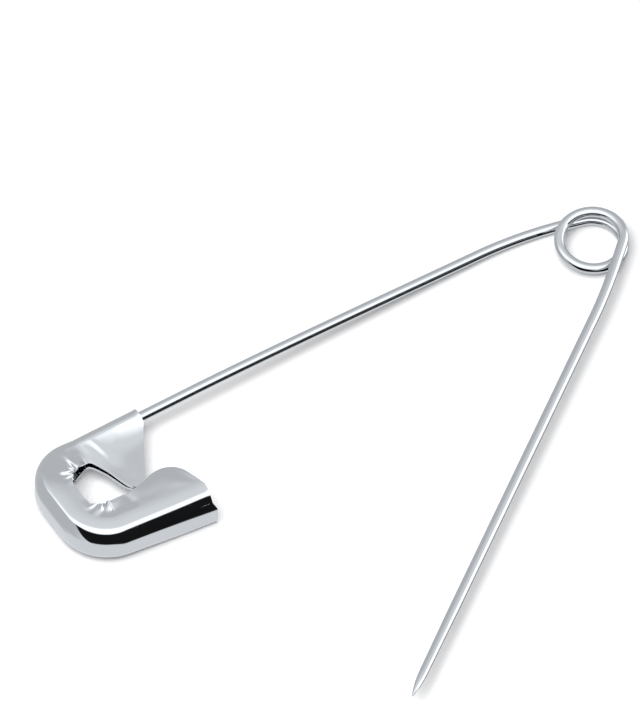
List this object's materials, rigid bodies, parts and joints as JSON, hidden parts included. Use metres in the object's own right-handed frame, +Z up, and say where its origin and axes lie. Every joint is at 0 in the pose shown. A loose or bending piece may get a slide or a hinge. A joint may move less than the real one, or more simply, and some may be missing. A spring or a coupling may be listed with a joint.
{
  "type": "safety pin",
  "caption": "Large safety pin: springy wire bent into a coil between a fixed arm and a sharp pin arm, with a folded sheet cap that grips the fixed arm and shields the point.",
  "frame": {"origin": "on the axis of the coil, at the table the open pin lies on", "axes": "+X from the cap towards the coil, along the fixed arm; +Y from the open pin arm towards the fixed arm; +Z up from the table, along the coil's axis"},
  "size_m": [0.0762, 0.0496, 0.0049],
  "materials": {
    "wire": "bright nickel plate on drawn spring steel",
    "cap": "bright nickel plate on folded sheet"
  },
  "bodies": {
    "frame": {"clasp_cap": "cap", "fixed_arm": "wire"},
    "coil": {"coil_spring": "wire"},
    "shank": {"pin_shank": "wire"},
    "point": {"pin_point": "wire"}
  },
  "joints": [
    {"name": "coil_swing", "type": "hinge", "parent": "frame", "child": "coil", "pos_m": [0, 0, 0.0014], "axis": [0, 0, -1], "range_deg": [0, 27.2], "stiffness_Nm_per_rad": 0.05},
    {"name": "pin_lift", "type": "hinge", "parent": "coil", "child": "shank", "pos_m": [-0.00272, -0.00739, 0.0022], "axis": [0.5962, -0.8028, 0], "range_deg": [-4.1, 0], "stiffness_Nm_per_rad": 0.05},
    {"name": "pin_press", "type": "hinge", "parent": "shank", "child": "point", "pos_m": [-0.02118, -0.0211, 0.0022], "axis": [0, 0, -1], "range_deg": [0, 10.2], "stiffness_Nm_per_rad": 0.05}
  ]
}
